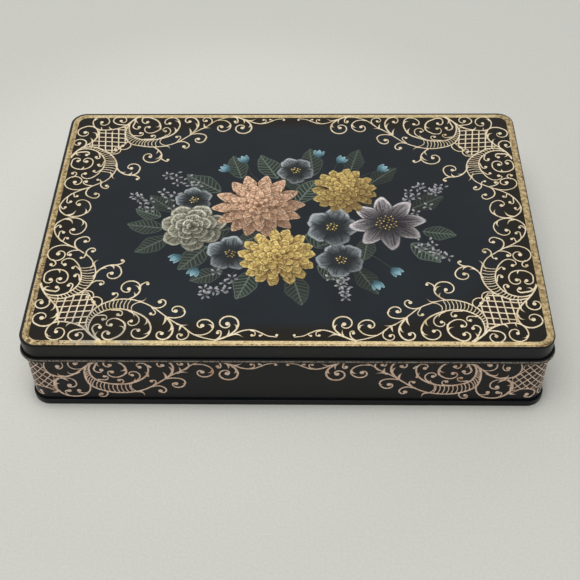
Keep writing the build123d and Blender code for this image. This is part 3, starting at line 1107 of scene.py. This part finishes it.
LID_TRELLIS = [
    (104.5, 53.6), (100.5, 53.6), (96.6, 52), (93.4, 49.9), (90.4, 49.6), (88.2, 53), (84.8, 58.4),
    (87.4, 62), (88.5, 67), (88.6, 70.6), (92, 69.3), (96, 68), (100.5, 67.5), (102.2, 66.4),
    (102, 63), (103.1, 59.4), (105.4, 56),
]

nets, grounds = [], []
for side, end, pulls in QUARTERS.values():
    outline = [quarter_place(side, end, pulls)(x, y) for x, y in LID_TRELLIS]
    slopes = [side * end * slope for slope in BAR_SLOPES]
    nets.append(netting(outline, slopes, spacing=3.4, bar=0.6))
    ground = flat_plate(outline)
    bmesh.ops.solidify(ground, geom=ground.faces[:], thickness=GROUND_THICKNESS)
    grounds.append(ground)
on_lid("lid_trellis", joined(nets), LID_GILT)
on_lid("lid_trellis_ground", joined(grounds), ground_finish("trellis_brown", TRELLIS_GROUND))


# %% [markdown]
# ## The wall print
# The strip for the walls is printed flat and then bent round the corners. So it is here:
# strokes are laid out flat, with X as the run along the strip from the middle of the
# front, and each vertex is then carried to its place on the wall. The print sits a
# little off its middle, as such prints often do.

# %% Round the walls
def clamp(value, low, high):
    return max(low, min(high, value))


PRINT_SHIFT = -1.9 * MM
wall_foot = 3.3 * MM  # the print ends here, above the foot seam
long_run = wall_half_length - wall_corner
short_run = wall_half_depth - wall_corner
arc_run = wall_corner * pi / 2
corner_line = long_run + arc_run / 2
side_middle = long_run + arc_run + short_run
half_round = 2 * side_middle


def on_wall(run, height, lift):
    """The place on the wall's outer face, for a run from the middle of the front."""
    run = (run + PRINT_SHIFT + half_round) % (2 * half_round) - half_round
    way = 1 if run >= 0 else -1
    run = abs(run)
    second_corner = long_run + arc_run + 2 * short_run
    turned = clamp(run - long_run, 0, arc_run) + clamp(run - second_corner, 0, arc_run)
    angle = turned / wall_corner - pi / 2
    centre_x = min(run, long_run) - max(run - second_corner - arc_run, 0)
    centre_y = clamp(run - long_run - arc_run, 0, 2 * short_run) - short_run
    reach = wall_corner + lift
    return Vector((way * (centre_x + reach * cos(angle)), centre_y + reach * sin(angle), height))


def add_mirrored(bm, across):
    """Adds a mirror image of all that is there; across maps a place to its image."""
    copied = bmesh.ops.duplicate(bm, geom=everything(bm))["geom"]
    for vert in copied:
        if isinstance(vert, bmesh.types.BMVert):
            vert.co = across(vert.co)


def on_walls(name, bm, material):
    """Adds the other three quarters of the print, cuts it off above the foot seam, bends
    it round the walls and finishes it."""
    add_mirrored(bm, lambda co: Vector((-co.x, co.y, co.z)))
    add_mirrored(bm, lambda co: Vector((2 * side_middle - co.x, co.y, co.z)))
    cut = bmesh.ops.bisect_plane(
        bm, geom=everything(bm), plane_co=(0, wall_foot, 0), plane_no=(0, 1, 0), clear_inner=True
    )
    edges = [item for item in cut["geom_cut"] if isinstance(item, bmesh.types.BMEdge)]
    bmesh.ops.holes_fill(bm, edges=edges, sides=0)
    for vert in bm.verts:
        vert.co = on_wall(*vert.co)
    return finished(name, bm, material, "tin")


# %% [markdown]
# One quarter of the wall's print is half a long side and half a short one. A short
# function for each carries what was written for the lid to its place on the flat strip.
# A stroke that would reach below the foot seam's top is cut off there.

# %% Strokes on the walls
middle_mm = side_middle / MM
corner_mm = corner_line / MM
WALL_SLENDER = 0.84  # share of the written widths
slip = 1.25  # mm by which the print lies nearer to the middle of its side than on the lid
long_drop = 46  # mm from the lid's middle to what lies at the foot of a long side
short_drop = 81.5  # and to what lies at the foot of a short side
scrolls_drop = 0.6  # mm by which a long side's scrolls lie lower still


def on_long_side(x, y):
    return x - slip, y - long_drop


def on_short_side(x, y):
    return middle_mm + slip - y, x - short_drop


def past_corner(x, y):
    """The mirror image of on_long_side across the middle of the corner."""
    return 2 * corner_mm + slip - x, y - long_drop


def lowered(x, y):
    return x, y - scrolls_drop


for name, strokes, place in (
    ("wall_scrolls_long_sides", WALL_RAILS + moved(LONG_SIDE, lowered), on_long_side),
    ("wall_scrolls_short_sides", SHORT_SIDE + FRONT_LEFT_CURLS[1:], on_short_side),
    ("wall_ladders_long_sides", WALL_LADDER, on_long_side),
    ("wall_ladders_short_sides", SHORT_LADDER, on_short_side),
    ("wall_corner_scrolls_long_sides", WALL_CORNER, on_long_side),
    ("wall_corner_scrolls_short_sides", WALL_CORNER, past_corner),
):
    on_walls(name, stroke_mesh(name, moved(strokes, place, WALL_SLENDER)), WALL_GILT)

# %% [markdown]
# Each corner of the walls has a panel of trellis too, over a ground of its own. It is
# cut into upright strips a millimetre wide, so that it can follow the bend.

# %% Trellis round the wall corners
HALF_TRELLIS = [
    (116.6, 75.6), (108.4, 75.4), (107.9, 72), (106.4, 68.6), (104, 65.8), (104.4, 62.4),
    (105.2, 59.8), (105.4, 56), (108.6, 57.4), (112, 58), (116.6, 57.4),
]
BEND_STEP = 1.0  # mm
right_half = [past_corner(x, y) for x, y in reversed(HALF_TRELLIS[1:-1])]
WALL_TRELLIS = [on_long_side(x, y) for x, y in HALF_TRELLIS] + right_half
diamonds = netting(WALL_TRELLIS, slopes=(50, -50), spacing=2.87, bar=0.45, step=BEND_STEP)
on_walls("wall_trellis", diamonds, WALL_GILT)
ground = flat_plate(WALL_TRELLIS)
cut_in_rows(ground, 90, BEND_STEP, Vector((corner_mm, 20, 0)))
bmesh.ops.solidify(ground, geom=ground.faces[:], thickness=GROUND_THICKNESS)
on_walls("wall_trellis_ground", ground, ground_finish("wall_brown", TRELLIS_GROUND))

# %% [markdown]
# ## The bunch of flowers
# A tin like this has a painted bunch of flowers on its lid. This one is a general
# garden bunch: a peach dahlia, two ochre marigolds, a cream camellia, a lilac clematis,
# small blue primroses, sprays of florets, buds and leaves. Every petal is a thin closed
# plate that reaches from inside the sheet up to its own height, so that petals overlap
# as brushwork does.

# %% Petals
PETAL_ROOT = -0.02  # mm, within the sheet


def petal(spot, heading, length, width, top, base=0.5, tip=0.8, ruffle=0.0, tone=0.5, segments=16):
    """A petal from its spot in mm towards a heading in degrees. Base and tip are its
    shares of the width at both ends, and top is its height above the lid in mm."""
    bm = bmesh.new()
    uv = bm.loops.layers.uv.new("petal")
    tones = bm.verts.layers.float.new("tone")
    bmesh.ops.create_uvsphere(bm, u_segments=segments, v_segments=4, radius=1.0)
    for face in bm.faces:
        for loop in face.loops:
            loop[uv].uv = (0.5 + 0.5 * loop.vert.co.x, 0.5 + 0.5 * loop.vert.co.y)
    for vert in bm.verts:
        x, y, z = vert.co
        along = 0.5 + 0.5 * y
        if along < 0.5:
            share = base + (1 - base) * 2 * along
        else:
            share = 1 + (tip - 1) * (2 * along - 1)
        wave = 1 + ruffle * sin(5 * atan2(x, y)) * along
        height = top if z > -0.01 else PETAL_ROOT
        vert.co = (x * width / 2 * share * wave, along * length * wave, height)
        vert[tones] = tone
    turn = Matrix.Rotation(radians(heading - 90), 4, "Z")
    place = Matrix.Scale(MM, 4) @ Matrix.Translation((spot[0], spot[1], 0)) @ turn
    bmesh.ops.transform(bm, matrix=place, verts=bm.verts)
    return bm


def ring(centre, start, count, distance, length, width, top, dice, tone=0.5, light=120, **form):
    """A ring of petals round a centre. Petals that point to the light are paler."""
    petals = []
    for number in range(count):
        heading = start + 360 / count * number + dice.uniform(-4, 4)
        out = Vector((cos(radians(heading)), sin(radians(heading))))
        lit = tone + 0.22 * cos(radians(heading - light)) + dice.uniform(-0.1, 0.1)
        petals.append(petal(
            Vector(centre) + out * distance, heading, length * dice.uniform(0.93, 1.05), width,
            top + 0.015 * number / count + dice.uniform(0, 0.002), tone=lit, **form
        ))
    return petals


# %% [markdown]
# Every petal has its own UV map, across and along it, and a tone of its own in an
# attribute. So one paint can deepen each petal's foot, outline it and streak it
# lengthwise, wherever it lies and whichever way it points.

# %% Paint for the petals
def petal_place(finish):
    """Places across and along a petal from -1 to 1, and its tone."""
    tone = Signal(finish.tree.nodes.new("ShaderNodeAttribute").outputs["Fac"])
    tone.socket.node.attribute_name = "tone"
    return finish.uv.part(0) * 2.0 - 1.0, finish.uv.part(1) * 2.0 - 1.0, tone


def paint(name, deep, pale, rim, foot=(-0.7, 0.5), crack=0.5, streaks=0.9, cell=0.42):
    """Deep at the petal's foot and pale further out, with a lit rim, a dark outline,
    streaks along it and the fine crackle of old varnish."""
    finish = Finish(name, IOR=1.4)
    place = finish.place
    across, along, tone = petal_place(finish)
    outwards = across * across + along * along
    ink = tuple(value * 0.3 for value in deep)
    grain = place.noise(0.9, detail=4.0)
    colour = (along.rise(*foot) * (0.4 + tone * 1.1)).mix(deep, pale)
    hairs = place.node("CombineXYZ", sockets={0: across * 8.0, 1: along * 0.8, 2: tone * 40.0})
    streak = hairs.noise(1.0, detail=2.0).rise(0.44, 0.6)
    colour = (streak * streaks * (1.0 - along * 0.4)).mix(colour, deep)
    colour = (outwards.rise(0.35, 0.75) * along.rise(-0.2, 0.6) * (0.2 + tone)).mix(colour, rim)
    colour = colour * (0.55 + tone * 0.7 + (grain - 0.5) * 0.6)
    sockets = {"Vector": place + grain * 0.5, "Scale": cell}
    cells = place.node("TexVoronoi", {"feature": "DISTANCE_TO_EDGE"}, sockets)
    lines = (cells.rise(0.08, 0.03) * crack).most(outwards.rise(0.78, 0.95) * 0.85)
    finish.feed(Base_Color=lines.mix(colour, ink), Roughness=0.36 + grain * 0.12)
    return finish.material


PEACH = paint(
    "peach_paint", (0.17, 0.08, 0.035), (0.66, 0.40, 0.25), (0.78, 0.56, 0.39),
    crack=0.7, streaks=0.3,
)
OCHRE = paint(
    "ochre_paint", (0.18, 0.09, 0.02), (0.55, 0.39, 0.11), (0.74, 0.58, 0.23),
    crack=0.7, streaks=0.3,
)
CREAM = paint("cream_paint", (0.05, 0.05, 0.03), (0.32, 0.31, 0.23), (0.70, 0.68, 0.54))
LILAC = paint(
    "lilac_paint", (0.018, 0.015, 0.020), (0.34, 0.31, 0.32), (0.76, 0.72, 0.70), foot=(-0.7, 0.8),
    cell=0.7,
)
SLATE = paint(
    "slate_paint", (0.010, 0.014, 0.016), (0.20, 0.23, 0.24), (0.36, 0.39, 0.40), foot=(-0.4, 0.9),
    crack=0.4, streaks=0.8, cell=0.7,
)
FLORET = paint(
    "floret_paint", (0.11, 0.11, 0.12), (0.33, 0.33, 0.34), (0.44, 0.43, 0.42),
    crack=0.0, streaks=0.2,
)
BUD = paint("bud_paint", (0.03, 0.08, 0.10), (0.16, 0.30, 0.35), (0.26, 0.42, 0.46), crack=0.0)
STAMEN = paint(
    "stamen_paint", (0.20, 0.13, 0.03), (0.55, 0.42, 0.13), (0.60, 0.50, 0.22),
    crack=0.0, streaks=0.0,
)


def leaf_paint():
    """Dark green with side ribs and a midrib, pale where the light catches them."""
    finish = Finish("leaf_paint", IOR=1.4)
    across, along, tone = petal_place(finish)
    aside = across.absolute()
    outwards = across * across + along * along
    grain = finish.place.noise(1.0, detail=4.0)
    saw = finish.place.node("Math", {"operation": "FRACT"}, {0: along * 4.5 - aside * 1.6 + 8.0})
    ribs = saw.rise(0.62, 0.95) * saw.rise(1.0, 0.95) * outwards.rise(1.0, 0.5)
    lit_rim = outwards.rise(0.72, 0.86) * outwards.rise(1.0, 0.9) * tone * 0.7
    green = along.rise(-1.0, 1.0).mix((0.006, 0.011, 0.008), (0.020, 0.030, 0.022))
    green = (ribs * (0.15 + tone * 0.85)).mix(green, (0.115, 0.150, 0.118))
    green = (aside.rise(0.12, 0.04) * 0.8).mix(green, (0.10, 0.13, 0.10))
    green = lit_rim.mix(green, (0.10, 0.13, 0.11)) * (0.5 + tone * 0.8 + (grain - 0.5) * 0.8)
    finish.feed(Base_Color=green, Roughness=0.36 + grain * 0.1)
    return finish.material


LEAF = leaf_paint()
print("petal paints mixed")

# %% [markdown]
# The leaves lie lowest, and sprays of florets and buds reach out past them on fine stems.
# Every draw of the dice comes from one seeded row, so the bunch is the same each time.

# %% Leaves
dice = Random(11)
leaves = [
    petal(
        (x, y), heading, length, width, 0.01 + 0.004 * dice.random(), base=0.75, tip=0.5,
        ruffle=0.03, tone=dice.uniform(0.2, 0.9), segments=28,
    )
    for x, y, heading, length, width in (
        (-60, -8, 172, 18, 11), (-57, -14, 215, 18, 11), (-38, -20, 232, 20, 12),
        (-30, -36, 205, 16, 10), (-16, -36, 250, 19, 12), (2, -38, 285, 20, 12),
        (14, -32, 320, 16, 10), (32, -34, 300, 19, 11), (58, -18, 318, 18, 11),
        (64, -10, 352, 16, 10), (60, 6, 30, 18, 11), (40, 24, 42, 18, 11), (30, 32, 75, 19, 11),
        (12, 30, 96, 21, 12), (-6, 28, 118, 20, 12), (-24, 28, 108, 18, 11),
        (-34, 18, 145, 22, 12), (-56, 4, 140, 17, 10), (4, 10, 60, 20, 12), (8, -12, 330, 18, 11),
        (-28, -8, 200, 18, 12), (34, 2, 20, 16, 11), (-18, -16, 300, 16, 11),
        (38, -14, 260, 16, 10), (-62, 0, 158, 14, 9), (10, 20, 150, 16, 10),
        (-12, -12, 210, 16, 10), (14, -20, 20, 14, 9),
    )
]
on_lid("painted_leaves", joined(leaves), LEAF)

# %% Sprays of florets, buds and their stems
STEM_GREEN = (0.045, 0.06, 0.045)
SPREAD = 0.42  # of a spray to both sides, as a share of its reach
florets, buds, stems = [], [], []
for x, y, heading, reach, count in (
    (-50, 6, 165, 28, 13), (-42, 20, 150, 22, 9), (54, 10, 25, 25, 13), (58, -20, 338, 18, 8),
    (-24, -36, 228, 20, 9), (20, -38, 290, 16, 8),
):
    foot = Vector((x, y))
    out = Vector((cos(radians(heading)), sin(radians(heading))))
    side = Vector((-out.y, out.x))
    bend, end = foot + out * reach / 2 + side, foot + out * reach
    stems.append(([(*foot, 0.35), (*bend, 0.3), (*end, 0.2)], None))
    for number in range(count):
        share = (number + 1) / count
        aside = dice.uniform(-1, 1) * reach * SPREAD * (1.25 - share)
        spot = foot + out * reach * share + side * aside
        stems.append(([(*spot, 0.2), (*(foot + out * reach * (share - 0.15)), 0.3)], None))
        count_here = dice.choice((4, 4, 5, 2))
        florets += ring(
            spot, start=dice.uniform(0, 360), count=count_here, distance=0.5,
            length=dice.uniform(2.2, 2.9), width=1.25, top=0.03, dice=dice, tip=0.7, segments=8,
        )
for x, y, heading, bend in (
    (-22, 40, 120, 12), (-30, 34, 152, -10), (14, 44, 80, 12), (24, 40, 48, -12), (44, 34, 30, 10),
    (-50, -26, 216, 10), (-42, -34, 246, -12), (48, -34, 312, 10), (40, -42, 290, -10),
):
    spot = Vector((x, y))
    bent = spot * 0.8 + spot.orthogonal().normalized() * bend * 0.15
    stems.append(([(*(spot * 0.6), 0.5), (*bent, 0.4), (*spot, 0.4)], None))
    for turn, tone in ((-24, 0.4), (24, 0.55), (0, 0.85)):
        buds.append(petal(
            spot, heading + turn, length=6.4, width=3.0, top=0.02 + tone * 0.02, base=0.7, tip=0.6,
            tone=tone,
        ))
on_lid("painted_florets", joined(florets), FLORET)
on_lid("painted_buds", joined(buds), BUD)
stem_paint = ground_finish("stem_paint", STEM_GREEN)
on_lid("painted_stems", stroke_mesh("painted_stems", stems), stem_paint)

# %% [markdown]
# The blooms come last. Each is a few rings of petals, every ring a little higher, paler
# and smaller than the one outside it, and each kind has its own count and widths.

# %% Blooms
PRIMROSES = ((21, -7, 12.5), (-27, -25, 11), (25, -29, 11), (3, 34, 9.5), (-47, 12, 9))
CLEMATIS = (47, -4, 19)
primroses = []
for x, y, radius in PRIMROSES:
    primroses += ring(
        (x, y), start=dice.uniform(0, 72), count=5, distance=0.6, length=radius,
        width=radius * 1.05, top=0.05, dice=dice, base=0.45, tip=1.0, ruffle=0.05,
    )
on_lid("painted_primroses", joined(primroses), SLATE)

RING_STEP = 0.018  # mm that each ring lies higher than the one outside it


def rosette(x, y, radius, rings, height, tone, **form):
    """Rings of petals, the outermost first: (count, distance, length, width) in shares
    of the radius. Inner rings are paler."""
    petals = []
    for number, (count, distance, length, width) in enumerate(rings):
        petals += ring(
            (x, y), number * 11 + dice.uniform(0, 20), count, distance * radius, length * radius,
            width * radius, top=height + RING_STEP * number, dice=dice,
            tone=tone + 0.25 * number / len(rings), **form,
        )
    return joined(petals)


clematis_rings = [(8, 0.05, 0.96, 0.52)]
camellia_rings = [
    (7, 0.35, 0.66, 0.72), (6, 0.22, 0.58, 0.66), (5, 0.10, 0.48, 0.56), (4, 0.02, 0.34, 0.40),
    (3, 0.0, 0.20, 0.26),
]
marigold_rings = [
    (15, 0.55, 0.48, 0.32), (13, 0.40, 0.46, 0.30), (11, 0.27, 0.40, 0.28), (9, 0.15, 0.34, 0.24),
    (7, 0.05, 0.26, 0.20), (5, 0.0, 0.14, 0.13),
]
dahlia_rings = [
    (14, 0.45, 0.58, 0.34), (13, 0.33, 0.54, 0.31), (12, 0.21, 0.48, 0.28), (10, 0.11, 0.40, 0.24),
    (8, 0.03, 0.28, 0.18), (5, 0.0, 0.16, 0.12),
]
petal_forms = {
    "clematis": {"base": 0.45, "tip": 0.75, "ruffle": 0.02},
    "camellia": {"base": 0.8, "tip": 0.95, "ruffle": 0.03},
    "marigold": {"base": 0.8, "tip": 1.0, "ruffle": 0.05},
    "dahlia": {"base": 0.7, "tip": 0.55},
}
# name, (x, y, radius) and height of the outermost ring in mm, rings, tone, petals, paint
for name, spot, height, rings, tone, form, material in (
    ("painted_clematis", CLEMATIS, 0.07, clematis_rings, 0.4, "clematis", LILAC),
    ("painted_camellia", (-46, -7, 16), 0.07, camellia_rings, 0.4, "camellia", CREAM),
    ("painted_marigold_low", (-5, -27, 18), 0.08, marigold_rings, 0.52, "marigold", OCHRE),
    ("painted_marigold_high", (27, 19, 16), 0.08, marigold_rings, 0.3, "marigold", OCHRE),
    ("painted_dahlia", (-15, 8, 22), 0.10, dahlia_rings, 0.4, "dahlia", PEACH),
):
    on_lid(name, rosette(*spot, rings, height, tone, **petal_forms[form]), material)

# %% Stamens
stamens = []
for x, y, bloom in (CLEMATIS, *PRIMROSES):
    cluster = bloom * (0.24 if (x, y, bloom) == CLEMATIS else 0.17)
    count = round(cluster * 6)
    for number in range(count):
        away = cluster * sqrt(number / count)
        angle = 137.5 * number
        spot = (x + away * cos(radians(angle)), y + away * sin(radians(angle)))
        stamens.append(petal(
            spot, angle, length=1.2, width=0.8, top=0.13 + 0.001 * number, tone=dice.random(),
            segments=8,
        ))
on_lid("painted_stamens", joined(stamens), STAMEN)

# %% [markdown]
# ## Closing
# Last comes a helper that rounds each corner of a box to six places.

# %% Round the boxes
def corners(bounds):
    return [[round(value, 6) for value in corner] for corner in bounds]
